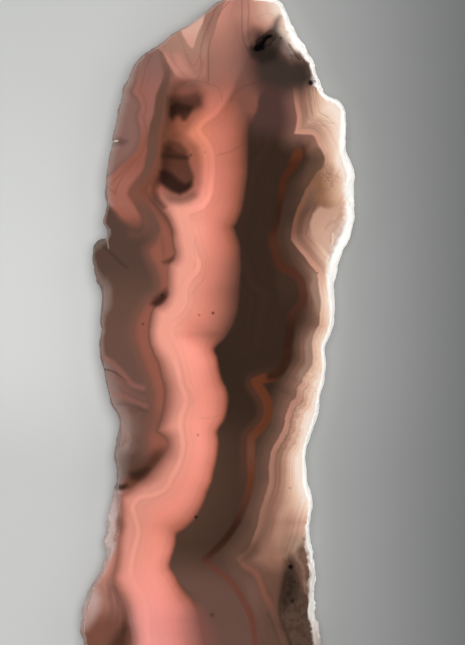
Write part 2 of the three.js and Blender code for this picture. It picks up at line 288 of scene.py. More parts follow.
# Soft rose streaks in the smoky stone.
ROSE_MARKS = [
    ([(102, 358), (110, 361), (119, 370), (127, 379), (133, 385), (143, 388)], 2.6, 0.62),
    ([(107, 374), (114, 378), (122, 386), (134, 394), (144, 398)], 2.2, 0.22),
    ([(113, 393), (121, 396), (134, 401), (146, 406)], 2.4, 0.5),
    ([(117, 413), (124, 415), (131, 418)], 1.8, 0.3),
    ([(118, 424), (124, 431), (128, 441)], 2.6, 0.3),
]
# Small pores: (x, y, radius, strength)
PORES = [
    (213, 313, 1.7, 0.7), (199, 315, 1.5, 0.4), (143, 324, 1.5, 0.5), (162, 295, 1.6, 0.6),
    (198, 435, 1.5, 0.35), (196, 517, 1.9, 0.85), (212, 615, 2.6, 0.4), (290, 488, 1.4, 0.35),
    (317, 273, 1.6, 0.4), (191, 155, 1.5, 0.38), (205, 152, 1.2, 0.25), (281, 38, 1.5, 0.5),
    (311.5, 82.5, 3.2, 0.95), (291, 567, 2.6, 0.95), (293, 601, 2.4, 0.7),
    (304, 539, 2.4, 0.35), (295, 582, 2.0, 0.4), (288, 594, 1.6, 0.35),
]


def display(red, green, blue):
    """A colour given in 0 to 255 display steps, as linear light."""
    return tuple(((v / 255 + 0.055) / 1.055) ** 2.4 if v > 10 else v / 3295
                 for v in (red, green, blue))


def colour(name, red, green, blue):
    return FloatVectorProperty(name=name, description=name + " of the stone", subtype="COLOR",
                               size=3, min=0, max=1, default=display(red, green, blue))


class CalciteSettings(bpy.types.PropertyGroup):
    """Sizes and colours of the stone."""
    facet: FloatProperty(
        name="Surface Cell", description="Size of the cells the stone's surface is modelled in",
        default=0.0005, min=0.0003, max=0.002, unit="LENGTH")
    crystal: FloatProperty(
        name="Crystal Size", description="Distance between the crystals on the broken rim",
        default=0.0019, min=0.0005, max=0.01, unit="LENGTH")
    relief: FloatProperty(
        name="Crystal Relief", description="How far the rim's crystals stand out or in",
        default=0.00028, min=0, max=0.001, unit="LENGTH")
    glow: colour("Brightest Salmon", 255, 161, 143)
    salmon: colour("Salmon", 228, 139, 120)
    coral: colour("Coral", 197, 116, 98)
    terracotta: colour("Terracotta", 168, 97, 77)
    sienna: colour("Sienna", 124, 72, 56)
    umber: colour("Umber", 51, 35, 25)
    shell: colour("Shell Pink", 226, 158, 138)
    dusty_pink: colour("Dusty Pink", 200, 139, 122)
    dusty_rose: colour("Dusty Rose", 169, 116, 101)
    dusty_brown: colour("Dusty Brown", 142, 97, 85)
    ash_rose: colour("Ash Rose", 107, 72, 63)
    bark: colour("Bark", 72, 50, 39)
    taupe: colour("Taupe", 99, 71, 58)
    driftwood: colour("Driftwood", 152, 120, 103)
    plum: colour("Plum", 77, 52, 47)
    haze: colour("Foot Haze", 102, 73, 63)
    thread: colour("Red Thread", 99, 51, 29)
    dull_thread: colour("Dull Thread", 83, 47, 35)
    dark_thread: colour("Dark Thread", 53, 28, 16)
    cedar: colour("Cedar", 100, 68, 54)
    clay: colour("Clay", 127, 91, 76)
    fawn: colour("Fawn", 150, 107, 89)
    sand: colour("Sand", 172, 130, 110)
    blush: colour("Blush", 200, 158, 136)
    cream: colour("Cream", 222, 184, 161)
    ivory: colour("Ivory", 235, 208, 188)
    pearl: colour("Pearl", 240, 221, 207)
    rind: colour("White Rind", 255, 252, 247)
    smoke: colour("Smoke", 84, 61, 52)
    cocoa: colour("Cocoa", 105, 75, 65)
    brick: colour("Brick", 126, 80, 67)
    rust: colour("Rust", 144, 86, 70)
    ember: colour("Ember", 110, 66, 50)
    rose: colour("Rose", 150, 98, 87)
    peony: colour("Peony", 160, 100, 85)
    mauve: colour("Mauve", 132, 97, 88)
    frost: colour("Frosted Edge", 156, 136, 128)
    petal: colour("Petal", 212, 166, 149)
    putty: colour("Putty", 166, 126, 110)
    lilac: colour("Lilac White", 203, 181, 174)
    olive: colour("Olive Brown", 93, 66, 48)
    foot_pink: colour("Foot Pink", 240, 147, 138)
    ochre: colour("Ochre", 207, 166, 132)
    honey: colour("Dark Ochre", 144, 99, 66)
    scree: colour("Grey Beige", 118, 97, 88)
    chalk: colour("Chalky Cream", 218, 198, 182)
    vein: colour("Deep Red Vein", 73, 35, 18)
    garnet: colour("Garnet Shade", 62, 39, 32)
    moss: colour("Mossy Shade", 46, 37, 26)
    crust: colour("Olive Crust", 122, 97, 76)
    lichen: colour("Greenish Grey", 110, 99, 87)
    ash: colour("Grey Matrix", 84, 67, 56)
    soot: colour("Crest Shade", 58, 47, 41)


class StageSettings(bpy.types.PropertyGroup):
    """The floor, the lamps and the camera."""
    floor: colour("Floor", 212, 213, 211)
    floor_far: colour("Dim End of the Floor", 96, 97, 97)
    top: FloatProperty(name="Top Lamp", description="Power of the broad lamp overhead",
                       default=15.6, min=0, unit="POWER")
    side: FloatProperty(name="Side Lamps", description="Power of each lamp at the sides",
                        default=1.85, min=0, unit="POWER")
    distance: FloatProperty(name="Camera Height", description="Height of the camera",
                            default=1.2, min=0.2, unit="LENGTH")


# ---------------------------------------------------------------- drawing on the sheet

def smooth_path(points, steps=3):
    """A centripetal curve through the points, with a corner wherever a point is repeated."""
    runs = [[points[0]]]
    for before, point in zip(points, points[1:]):
        if point == before:
            runs.append([point])
        else:
            runs[-1].append(point)
    path = [np.array(points[0], float)]
    for run in runs:
        p = np.array(run, float)
        p = np.vstack([2 * p[0] - p[1], p, 2 * p[-1] - p[-2]])
        for a, b, c, d in zip(p, p[1:], p[2:], p[3:]):
            k0, k1, k2 = (math.sqrt(max(np.linalg.norm(v), 1e-6)) for v in (b - a, c - b, d - c))
            m1 = (c - b) + k1 * ((b - a) / k0 - (c - a) / (k0 + k1))
            m2 = (c - b) + k1 * ((d - c) / k2 - (d - b) / (k1 + k2))
            for i in range(1, steps + 1):
                t = i / steps
                path.append((2 * t**3 - 3 * t**2 + 1) * b + (t**3 - 2 * t**2 + t) * m1
                            + (3 * t**2 - 2 * t**3) * c + (t**3 - t**2) * m2)
    return np.array(path)


def by_chunks(spots, work, size=4000):
    return np.concatenate([work(spots[i:i + size]) for i in range(0, len(spots), size)])


def distance_to(path, spots):
    """Distance of each spot from the path, and which side of its nearest run it lies on."""
    start, run = path[:-1], np.diff(path, axis=0)
    reach = np.maximum((run ** 2).sum(1), 1e-9)

    def work(some):
        away = some[:, None] - start
        share = np.clip((away * run).sum(2) / reach, 0, 1)
        gap = away - share[..., None] * run
        far = np.hypot(gap[..., 0], gap[..., 1])
        best = far.argmin(1)
        row = np.arange(len(some))
        side = run[best, 0] * away[row, best, 1] - run[best, 1] * away[row, best, 0]
        return np.stack([far[row, best], np.sign(side)], 1)
    return by_chunks(spots, work)


def within(loop, spots):
    """Whether each spot lies inside the closed loop."""
    a, b = loop, np.roll(loop, -1, axis=0)
    rise = np.where(a[:, 1] == b[:, 1], 1e-9, b[:, 1] - a[:, 1])

    def work(some):
        y = some[:, 1:2]
        spans = (a[:, 1] > y) != (b[:, 1] > y)
        at = a[:, 0] + (y - a[:, 1]) * (b[:, 0] - a[:, 0]) / rise
        return (spans & (some[:, 0:1] < at)).sum(1) % 2 == 1
    return by_chunks(spots, work)


def right_of(lines, spots):
    """Signed distance from the nearest of the lines: positive on the rind's side of them."""
    near = np.full(len(spots), 1e6)
    left = np.zeros(len(spots), bool)
    for points in lines:
        path = smooth_path(points)
        near = np.minimum(near, distance_to(path, spots)[:, 0])
        turn = [(FAR_LEFT, path[-1][1]), (FAR_LEFT, path[0][1])]
        left |= within(np.vstack([path, turn]), spots)
    return np.where(left, -near, near)


def near_by(path, spots):
    """Which spots lie within reach of a path."""
    low, high = path.min(0) - REACH, path.max(0) + REACH
    return np.flatnonzero(((spots > low) & (spots < high)).all(1))


def inside_of(outline, spots):
    """Signed distance from a closed outline: positive inside it."""
    loop = np.array(outline + outline[:1], float)
    close = near_by(loop, spots)
    signed = np.full(len(spots), -float(REACH))
    near = distance_to(loop, spots[close])[:, 0]
    signed[close] = np.where(within(loop[:-1], spots[close]), near, -near)
    return signed


def marks_on(marks, spots):
    """For a set of thin marks: signed distance in half widths, plain distance, strength."""
    best = np.full(len(spots), 1e6)
    signed = np.full(len(spots), 1e6)
    strength = np.zeros(len(spots))
    for points, half_width, force in marks:
        path = smooth_path(points)
        close = near_by(path, spots)
        far, side = distance_to(path, spots[close]).T
        far = far / half_width
        nearer = far < best[close]
        best[close[nearer]] = far[nearer]
        signed[close[nearer]] = (far * side)[nearer]
        strength[close[nearer]] = force
    return signed, best, strength


def shadows_on(spots):
    """How deep each spot lies in the soft shadows, from 0 to 1."""
    light = np.ones(len(spots))
    for outline, fade, force in SHADOWS:
        share = np.clip(inside_of(outline, spots) / fade + 0.5, 0, 1)
        light *= 1 - force * share ** 2 * (3 - 2 * share)
    return 1 - light


# ---------------------------------------------------------------- shader wiring

class Wire:
    """An output of a shader node. Sums on it add Math nodes."""

    def __init__(self, shop, socket):
        self.shop = shop
        self.socket = socket

    def _with(self, operation, *values):
        return self.shop.node("ShaderNodeMath", {"operation": operation}, dict(enumerate(values)))

    def __add__(self, other):
        return self._with("ADD", self, other)

    def __sub__(self, other):
        return self._with("SUBTRACT", self, other)

    def __rsub__(self, other):
        return self._with("SUBTRACT", other, self)

    def __mul__(self, other):
        return self._with("MULTIPLY", self, other)

    def __truediv__(self, other):
        return self._with("DIVIDE", self, other)

    def __pow__(self, other):
        return self._with("POWER", self, other)

    def __neg__(self):
        return self._with("MULTIPLY", self, -1)

    def __abs__(self):
        return self._with("ABSOLUTE", self)

    def at_least(self, other):
        return self._with("MAXIMUM", self, other)

    def at_most(self, other):
        return self._with("MINIMUM", self, other)

    __radd__ = __add__
    __rmul__ = __mul__


class Finish:
    """A material and the wires of its shader."""

    def __init__(self, name):
        self.material = bpy.data.materials.new(name)
        self.material.use_nodes = True
        self.tree = self.material.node_tree
        self.tree.nodes.clear()

    def node(self, kind, settings=None, sockets=None, output=0):
        made = self.tree.nodes.new(kind)
        for key, value in (settings or {}).items():
            if key == "stops":
                ramp = made.color_ramp
                while len(ramp.elements) < len(value):
                    ramp.elements.new(1)
                for element, (position, shade) in zip(ramp.elements, value):
                    element.position = position
                    element.color = shade if len(shade) == 4 else (*shade, 1)
            else:
                setattr(made, key, value)
        for key, value in (sockets or {}).items():
            socket = made.inputs[key]
            if isinstance(value, Wire):
                self.tree.links.new(value.socket, socket)
            elif socket.type == "RGBA":
                socket.default_value = (*value, 1)
            else:
                socket.default_value = value
        return Wire(self, made.outputs[output]) if made.outputs else None

    def soft(self, value, low, high):
        """0 below low, 1 above high, eased between."""
        return self.node("ShaderNodeMapRange", {"interpolation_type": "SMOOTHSTEP"},
                         {0: value, 1: low, 2: high, 3: 0.0, 4: 1.0})

    def ramp(self, value, low, high):
        """0 below low, 1 above high, straight between."""
        return self.node("ShaderNodeMapRange", {"clamp": True},
                         {0: value, 1: low, 2: high, 3: 0.0, 4: 1.0})

    def line(self, value, centre, half, fade=1.0):
        """1 within half of centre, 0 beyond, with a soft edge."""
        return 1 - self.soft(abs(value - centre), half - fade / 2, half + fade / 2)

    def blend(self, first, second, share):
        return self.node("ShaderNodeMix", {"data_type": "RGBA", "clamp_factor": True},
                         {0: share, 6: first, 7: second}, 2)

    def tinted(self, tone, tint):
        return self.node("ShaderNodeMix", {"data_type": "RGBA", "blend_type": "MULTIPLY"},
                         {0: 1.0, 6: tone, 7: tint}, 2)

    def shade(self, value, stops):
        """A colour that runs through the stops as value goes from 0 to 1."""
        return self.node("ShaderNodeValToRGB", {"stops": stops}, {0: value})

    def window(self, value, low, high, fade):
        """1 between low and high, 0 outside, with soft ends."""
        rise = self.soft(value, low - fade, low + fade)
        return rise * (1 - self.soft(value, high - fade, high + fade))

    def attribute(self, name):
        return self.node("ShaderNodeAttribute", {"attribute_name": name}, output=2)

    def noise(self, vector, scale, detail=2.0, roughness=0.5):
        return self.node("ShaderNodeTexNoise", {}, {
            "Vector": vector, "Scale": scale, "Detail": detail, "Roughness": roughness})

    def layers(self, value, scale, detail=2.0, roughness=0.6):
        """Irregular parallel layers along a running number."""
        return self.node("ShaderNodeTexNoise", {"noise_dimensions": "1D"}, {
            "W": value, "Scale": scale, "Detail": detail, "Roughness": roughness})


LINES = {"rose_edge": ROSE_EDGE, "mauve_edge": MAUVE_EDGE, "rust_edge": RUST_EDGE,
         "salmon_edge": SALMON_EDGE, "pale_seam": PALE_SEAM, "umber_edge": UMBER_EDGE,
         "red_thread": RED_THREAD, "peach_edge": PEACH_EDGE}
PATCHES = {"fold": FOLD, "fold_glow": FOLD_GLOW, "wedge": WEDGE, "lens": LENS, "ochre": OCHRE,
           "brown_lobe": BROWN_LOBE, "matrix": MATRIX, "tan_crust": TAN_CRUST, "dusk": DUSK,
           "soot": CREST_SHADE, "vug": VUG, "pale_lobe": PALE_LOBE, "chip": CHIP, "chip_glow": CHIP_GLOW,
           "chip_top": CHIP_TOP}
MARKS = {"dark_mark": DARK_MARKS, "pale_mark": PALE_MARKS, "rose_mark": ROSE_MARKS}


class Stone(Finish):
    """The stone's finish: growth bands, patches, pores and the frosted broken rim."""

    def __init__(self, look):
        super().__init__("banded_calcite")
        self.look = look
        self.place = self.node("ShaderNodeTexCoord", output=3)
        self.x = self.attribute("sheet_x")
        self.y = self.attribute("sheet_y")
        self.ripple = self.noise(self.place, 900, 3) - 0.5
        self.mottle = self.noise(self.place, 100, 4, 0.6) - 0.5
        self.grain = self.noise(self.place, 2600, 3, 0.6) - 0.5
        self.drift = (self.noise(self.place, 300, 2) - 0.5) * 1.6 + self.ripple * 0.8
        for name in LINES:
            setattr(self, name, self.attribute(name) + self.drift)
        self.rim = self.attribute("rim_distance") + self.drift
        self.foot = self.below(540, 585)

    def below(self, start, end):
        """0 above a height on the sheet, 1 below it, eased from start to end."""
        return self.soft(self.y, start, end)

    def above(self, start, end):
        return 1 - self.below(start, end)

    def between(self, start, end, fade):
        return self.window(self.y, start, end, fade)

    def down(self, stops):
        """A colour that runs through (place, colour) stops down the slab."""
        return self.shade(self.ramp(self.y, 0, SHEET_END),
                          [(place / SHEET_END, tone) for place, tone in stops])

    def course(self, stops):
        """A number that runs through (place, number) stops down the slab."""
        low = min(n for _, n in stops)
        span = max(n for _, n in stops) - low
        shares = [(place / SHEET_END, (0, 0, 0, (n - low) / span)) for place, n in stops]
        share = self.node("ShaderNodeValToRGB", {"stops": shares},
                          {0: self.ramp(self.y, 0, SHEET_END)}, 1)
        return share * span + low

    def patch(self, name, fade, push=0.0):
        """1 inside a drawn patch, with a soft edge of this width."""
        return self.soft(self.attribute(name) + self.drift * 1.4 + push, -fade / 2, fade / 2)

    def left_side(self):
        """Mauve, rose, dark and rust bands, and the smoky stone below them."""
        look, y, rim = self.look, self.y, self.rim
        outer = self.blend(look.mauve, look.brick, self.soft(self.rose_edge, -9, -1) * 0.3)
        outer = self.blend(outer, look.frost, (1 - self.soft(rim, 1, 9)) * 0.6)
        rose = self.down([(60, look.mauve), (90, look.rose), (122, look.rose), (140, look.rust),
                          (162, look.rust), (182, look.peony), (205, look.peony), (222, look.rust)])
        rose = self.blend(rose, look.brick, self.line(self.rose_edge, 5.5, 1.2, 2) * 0.35)
        lobe = self.below(150, 185)
        rings = self.layers(self.mauve_edge + self.mottle * 4, 0.28, 2)
        rose = self.blend(rose, look.brick, self.soft(rings, 0.5, 0.66) * (0.2 + lobe * 0.35))
        rose = self.blend(rose, look.rust, self.soft(self.mauve_edge, -5, 0) * lobe * 0.7)
        rose = self.blend(rose, look.frost, (1 - self.soft(rim, 1, 8)) * self.below(150, 180) * 0.6)
        dark = self.down([(58, look.mauve), (80, look.cocoa), (96, look.taupe), (122, look.taupe),
                          (140, look.cocoa), (165, look.cocoa), (195, look.brick),
                          (215, look.cocoa)])
        dark = self.blend(dark, look.ember, 0.25)
        smoky = self.down([(200, look.smoke), (265, look.smoke), (300, look.taupe),
                           (335, look.cocoa), (440, look.cocoa), (465, look.taupe)])
        hazed = self.course([(225, 3), (262, 3), (280, 12), (305, 13), (325, 4), (350, 5),
                             (368, 14), (410, 15), (422, 20), (448, 22), (470, 15), (482, 9),
                             (700, 10)])
        smoky = self.blend(smoky, look.brick, self.soft(self.rust_edge, -13, 0) * 0.7)
        smoky = self.blend(smoky, look.mauve, self.between(372, 448, 10)
                           * (1 - self.soft(rim + self.mottle * 14, 10, 26)) * 0.5)
        smoky = self.blend(smoky, look.frost, (1 - self.ramp(rim / hazed, 0.05, 0.9))
                           * (0.62 + 0.16 * self.below(375, 400)))
        rust = self.down([(55, look.dusty_rose), (76, look.dusty_brown), (95, look.taupe),
                          (122, look.ember), (160, look.ember), (188, look.ember),
                          (205, look.brick), (225, look.rust), (405, look.rust), (422, look.brick),
                          (442, look.rust), (460, look.ember)])
        rust = self.blend(rust, look.brick, self.line(self.rust_edge, 1, 2, 3) * 0.4)
        rust = self.blend(rust, look.sienna, self.between(140, 215, 12) * 0.45)
        edging = self.between(200, 262, 5) * 0.5 + self.between(300, 442, 10) * 0.5
        rust = self.blend(rust, look.smoke, self.soft(self.salmon_edge, -3, -0.5) * edging)
        stone = self.blend(outer, rose, self.soft(self.rose_edge, -1.5, 1.5))
        stone = self.blend(stone, look.cocoa, self.line(self.rose_edge, -2, 1.2, 2.5) * 0.3)
        below = self.below(200, 212)
        merge = 2 + self.below(200, 225) * 4
        stone = self.blend(stone, dark, self.soft(self.mauve_edge / merge, -1, 1))
        lobed = self.soft((-1 - self.mauve_edge) / merge, -1, 1) * self.above(214, 236)
        banded = (self.soft(self.mauve_edge / merge, -0.5, 0.8) * self.above(224, 246)
                  * self.soft(self.x + (y - 205) * 0.4, 134, 146))
        stone = self.blend(stone, smoky, below * (1 - lobed) * (1 - banded))
        stone = self.blend(stone, rust, self.soft(self.rust_edge, -2.5, 2))
        sparse = self.below(543, 568)
        crystals = self.blend(look.dusty_pink, look.lilac, 1 - self.soft(rim + sparse * 7, 2, 13))
        glints = self.soft(self.noise(self.place, 1500, 3, 0.75), 0.58, 0.68)
        crystals = self.blend(crystals, look.rind, glints * self.between(500, 556, 8) * 0.6)
        crystals = self.blend(crystals, look.rose, self.soft(self.salmon_edge, -8, 0) * 0.8)
        crystals = self.blend(crystals, look.dusty_brown, self.below(560, 600) * 0.75)
        crystals = self.blend(crystals, look.rose, self.window(self.rust_edge, -4, 20, 3)
                              * self.below(570, 600) * 0.7)
        # Painted shade, warmed to ember, darkens the crystals towards the foot.
        crystals = self.blend(crystals, look.ember, self.below(598, 626) * 0.85)
        crystals = self.blend(crystals, look.ash_rose, self.line(self.mauve_edge, -1, 2.4, 4)
                              * self.below(575, 592) * 0.4)
        crystals = self.blend(crystals, look.ash_rose, self.line(self.rust_edge, 2, 1.4, 2.4)
                              * self.below(590, 606) * 0.4)
        return self.blend(stone, crystals, self.below(487, 494))

    def salmon_body(self):
        """The salmon body with a painted glow, which painted shade dims towards both its edges and
        towards the crest.
        """
        look, seam = self.look, self.pale_seam
        # The light numbers below are painted light: the glow through the stone and its shade are
        # laid into the colour.
        depth = self.course([(0, 0.76), (22, 0.66), (40, 0.53), (60, 0.43), (84, 0.36), (100, 0.46),
                             (130, 0.67), (165, 0.68), (200, 0.94), (225, 1.1), (262, 0.98),
                             (300, 1.02), (330, 1.07), (350, 1.02), (380, 0.9), (400, 0.85),
                             (425, 0.93), (450, 0.9), (480, 0.82), (525, 0.78), (560, 0.85),
                             (590, 0.97), (620, 0.96)])
        drop = self.course([(60, 0.0), (84, 0.3), (100, 0.42), (118, 0.2), (135, 0.08), (170, 0.08),
                            (200, 0.2), (232, 0.06), (262, 0.12), (285, 0.05), (330, 0.0)])
        reach = self.course([(0, 30), (60, 46), (84, 40), (130, 48), (200, 48), (230, 42),
                             (260, 52), (300, 56), (335, 50), (350, 34), (362, 34), (385, 42),
                             (405, 42), (430, 30), (455, 27), (480, 27), (505, 36), (525, 46),
                             (540, 28), (552, 22), (585, 34), (605, 40), (635, 64)])
        steepness = self.course([(0, 1.5), (84, 2), (200, 2), (230, 1.5), (262, 1.5), (290, 1),
                                 (335, 1.1), (350, 2.6), (362, 3.2), (575, 3.2), (600, 2),
                                 (620, 1.2)])
        rise = 1 - (1 - self.ramp((2 - self.umber_edge) / reach, 0, 1)) ** steepness
        wide = self.course([(195, 17), (215, 13), (345, 13), (370, 17), (385, 19), (410, 19),
                            (440, 16), (458, 20), (478, 19), (498, 11), (548, 10), (568, 14),
                            (585, 19), (604, 18)])
        waking = 0.2 + 0.8 * self.soft(self.salmon_edge, -4, wide)
        share = self.salmon_edge / (self.salmon_edge - self.umber_edge).at_least(1)
        strata = self.layers(share + self.mottle * 0.06, 15, 2) - 0.5
        light = depth * waking * rise
        light = light * (1 - drop * self.soft(seam, -1, 5))
        light = light * (1 - 0.22 * self.between(118, 205, 10) * (1 - self.soft(seam, -17, -6)))
        crisp = 1 - 0.6 * self.below(470, 510)
        lines = ((0.17 - 0.08 * crisp) * self.line(seam, -1.5, 2, 2.5)
                 - 0.075 * crisp * self.line(seam, 2.6, 0.8, 2)
                 - 0.05 * crisp * self.line(seam, -6, 0.7, 2)
                 - 0.05 * crisp * self.line(seam, 9, 0.6, 1.6)
                 - 0.05 * self.line(self.umber_edge, -9, 0.7, 3) * self.below(130, 200))
        flank = self.between(84, 196, 8)
        light = light * (1 + lines * self.below(96, 112) + strata * 0.09 + self.mottle * 0.16)
        least = self.course([(0, 0.55), (15, 0.58), (24, 0.46), (34, 0.38), (44, 0.32), (56, 0.2),
                             (84, 0.2), (94, 0.21), (112, 0.2), (128, 0.0), (588, 0.0), (606, 0.2)])
        light = light.at_least(least + self.mottle * 0.06)
        places = (0, 0.17, 0.33, 0.5, 0.75, 1)
        warm = (look.umber, look.sienna, look.terracotta, look.coral, look.salmon, look.glow)
        dusty = (look.umber, look.ash_rose, look.dusty_brown, look.dusty_rose, look.dusty_pink,
                 look.shell)
        warmth = (0.35 + 0.65 * self.soft(share, 0.2, 0.65)).at_least(flank) * self.below(62, 112)
        warmth = warmth * (1 - 0.5 * self.soft(self.x, 226, 242) * self.above(112, 140))
        cool = self.course([(245, 0), (270, 0.35), (335, 0.35), (350, 0), (586, 0), (616, 0.5)])
        warmth = warmth * (1 - cool * (1 - self.soft(light, 0.3, 0.75)))
        body = self.blend(self.shade(light, list(zip(places, dusty))),
                          self.shade(light, list(zip(places, warm))), warmth)
        tawny = self.between(112, 164, 12) * (1 - self.soft(self.x, 200, 224))
        tint = self.blend((1, 1, 1), (1, 1, 0.86), tawny)
        tint = self.blend(tint, (1, 1, 1.14), self.below(590, 620))
        body = self.tinted(body, tint)
        return self.blend(body, look.foot_pink, self.foot * self.soft(light, 0.4, 1) * 0.5)

    def umber_body(self):
        """The umber body with its red thread, paling to taupe before the peach line."""
        look, y, peach, thread = self.look, self.y, self.peach_edge, self.red_thread
        lift = self.course([(120, 0.7), (136, 0.85), (146, 0.92), (156, 0.9), (168, 0.72),
                            (178, 0.62), (192, 0.42), (215, 0.25), (240, 0.46), (262, 0.72),
                            (275, 1.0), (290, 1.4), (325, 0.9), (350, 1.35), (372, 1.2),
                            (390, 0.95), (425, 0.8), (445, 0.66), (520, 0.52), (545, 0.42),
                            (570, 0.3)])
        width = self.course([(0, 12), (120, 16), (150, 22), (190, 20), (300, 21), (360, 25),
                             (440, 24), (560, 24)])
        near = self.ramp(peach / width, -1, 0)
        fine = self.layers(peach + self.mottle * 3, 0.3, 2, 0.65) - 0.5
        strands = self.layers(thread + self.mottle * 9, 0.11, 2) - 0.5
        tone = lift * near * (1 + fine * 0.5) + self.mottle * 0.16 + self.below(415, 500) * 0.16
        tone = tone + strands * 0.1 + self.mottle * near * 0.3
        tone = tone + self.between(264, 300, 14) * self.soft(self.umber_edge, 30, 44) * 0.14
        dark = self.shade(tone, [(0, look.umber), (0.28, look.bark), (0.58, look.taupe),
                                 (0.84, look.clay), (1, look.driftwood)])
        reds = self.between(130, 345, 16) * (1 - self.soft(thread, -6, 4))
        dark = self.blend(dark, look.garnet, self.soft(strands, -0.1, 0.2) * reds * 0.4)
        dark = self.blend(dark, look.moss, (1 - self.soft(strands, -0.18, 0.06)) * reds * 0.4)
        knob = self.blend(look.dusty_brown, look.fawn, self.soft(self.x, 304, 317) * 0.8)
        knobbed = near ** 1.6 * self.between(128, 152, 8)
        dark = self.blend(dark, knob, knobbed * (0.1 + 0.8 * self.soft(self.x, 290, 310)))
        plum = self.blend(look.plum, look.dusty_brown, self.soft(peach, -18, 3) * 0.65)
        dark = self.blend(dark, plum, (1 - self.soft(y + self.mottle * 12, 118, 148)))
        crest = self.down([(0, look.dusty_pink), (14, look.dusty_pink), (24, look.dusty_rose),
                           (38, look.ash_rose)])
        dark = self.blend(dark, crest, self.above(34, 56))
        near_salmon = 1 - self.ramp(self.umber_edge / 36, 0, 1)
        dark = self.blend(dark, look.taupe, near_salmon * self.between(425, 556, 22) * 0.34)
        haze = self.blend(look.haze, look.clay, self.line(peach, -6, 6, 6) * 0.4)
        haze = self.blend(haze, look.bark, self.above(560, 600) * 0.35
                          * self.soft(self.umber_edge, 0, 50))
        haze = self.blend(haze, look.bark, self.below(585, 625) * self.soft(thread, 0, 14) * 0.5)
        dark = self.blend(dark, haze, self.foot)
        swell = self.course([(134, 7.0), (160, 6.0), (180, 4.2), (225, 3.2), (245, 4.6), (300, 4.6),
                             (330, 5), (365, 5), (380, 5.4), (405, 5), (480, 4), (560, 3.4),
                             (640, 3.6)])
        red = self.down([(140, look.dull_thread), (152, look.thread), (164, look.vein),
                         (192, look.vein), (206, look.dark_thread), (226, look.dark_thread),
                         (240, look.vein), (266, look.vein), (285, look.dull_thread),
                         (325, look.dark_thread), (348, look.dark_thread), (368, look.dull_thread),
                         (382, look.thread), (430, look.thread), (450, look.ember),
                         (480, look.thread), (502, look.dull_thread), (524, look.dark_thread),
                         (556, look.dark_thread), (566, look.dull_thread)])
        red = self.blend(red, look.coral, self.foot * 0.12)
        red = self.blend(red, look.dark_thread, self.between(352, 380, 4)
                         * self.soft(self.x, 260, 270))
        red = self.blend(red, look.thread, self.between(372, 392, 4)
                         * (1 - self.soft(self.x, 260, 270)))
        inside = 1 - self.soft(abs(thread) / swell, 0.45, 1.35)
        dark = self.blend(dark, red, inside * self.below(138, 156) * (0.9 + self.mottle * 0.6))
        dark = self.blend(dark, look.dull_thread, self.line(thread, 2, 7, 8) * 0.3
                          * self.between(232, 318, 14))
        dark = self.blend(dark, look.sienna, self.line(thread, -7, 4, 7) * 0.2
                          * self.between(375, 480, 20))
        return dark

    def pale_side(self):
        """Peach growth lines paling to ivory and to the white rind."""
        look = self.look
        ragged = self.between(320, 450, 15) + self.between(168, 205, 8)
        peach = self.peach_edge + self.ripple * 5 * ragged
        start = self.course([(0, 0.5), (24, 0.45), (36, 0.25), (84, 0.2), (100, 0.24), (118, 0.38),
                             (134, 0.5), (150, 0.62), (162, 0.5), (176, 0.14), (200, 0.08),
                             (215, 0.0), (232, 0.06), (246, 0.3), (262, 0.46), (280, 0.7),
                             (300, 0.86), (326, 0.6), (352, 0.68), (372, 0.6), (390, 0.42),
                             (410, 0.34), (430, 0.38), (450, 0.31), (490, 0.3), (503, 0.22),
                             (530, 0.17), (545, 0.08), (560, 0.06), (600, 0.0)])
        lag = self.course([(0, 3), (90, 8), (120, 8), (148, 3), (162, 2), (173, 5), (185, 9),
                           (204, 14), (215, 8), (240, 9), (265, 7), (290, 4), (385, 0), (425, 5),
                           (445, 8), (465, 10), (492, 10), (506, 9), (522, 12), (545, 5)])
        slope = self.course([(0, 0.025), (100, 0.027), (120, 0.03), (150, 0.027), (160, 0.05),
                             (172, 0.054), (185, 0.045), (204, 0.024), (215, 0.02), (260, 0.045),
                             (360, 0.04), (385, 0.034), (425, 0.039), (445, 0.041), (480, 0.036),
                             (506, 0.022), (522, 0.013), (545, 0.014), (558, 0.01), (575, 0.0)])
        tone = start + (peach - lag).at_least(0) * slope
        tone = tone + self.line(peach, 21, 5, 8) * self.between(508, 544, 12) * 0.12
        fine = self.layers(peach + self.mottle * 3, 0.36, 2, 0.65) - 0.5
        tone = tone + fine * self.course([(0, 0.1), (88, 0.45), (128, 0.4), (150, 0.25),
                                          (176, 0.26), (236, 0.3), (300, 0.4), (330, 0.5),
                                          (400, 0.5), (450, 0.4), (490, 0.18), (600, 0.1)])
        tone = tone - 0.1 * self.line(peach, 6.5, 0.9, 2) * self.between(380, 500, 10)
        tone = tone - 0.06 * self.line(peach, 11, 0.8, 2) * self.between(330, 500, 10)
        tone = tone + self.mottle * 0.12
        pale = self.shade(tone, [(0, look.cedar), (0.15, look.clay), (0.3, look.fawn),
                                 (0.45, look.sand), (0.6, look.blush), (0.75, look.cream),
                                 (0.9, look.ivory), (1, look.pearl)])
        gleam = self.course([(84, 0.0), (100, 0.35), (118, 0.6), (134, 0.6), (165, 0.0), (230, 0.0),
                             (246, 0.3), (265, 0.6), (290, 0.2), (380, 0.1), (400, 0.2),
                             (420, 0.55), (432, 0.25), (445, 0.25), (465, 0.14), (520, 0.1),
                             (565, 0.08), (600, 0.0)])
        pale = self.blend(pale, look.shell, self.line(peach, 2, 2, 3) * gleam * 0.6)
        pale = self.blend(pale, look.coral, self.line(peach, 2, 2, 3) * gleam * 0.3)
        tanned = self.blend(look.sienna, look.honey, 0.5)
        pale = self.blend(pale, tanned, self.line(peach, 2, 1.4, 3) * 0.7
                          * self.between(172, 238, 8))
        pale = self.blend(pale, look.rust, self.line(peach, 3, 3, 6) * 0.5
                          * self.between(564, 612, 12))
        tan_band = self.line(peach, 19, 5, 8) * self.between(540, 566, 10)
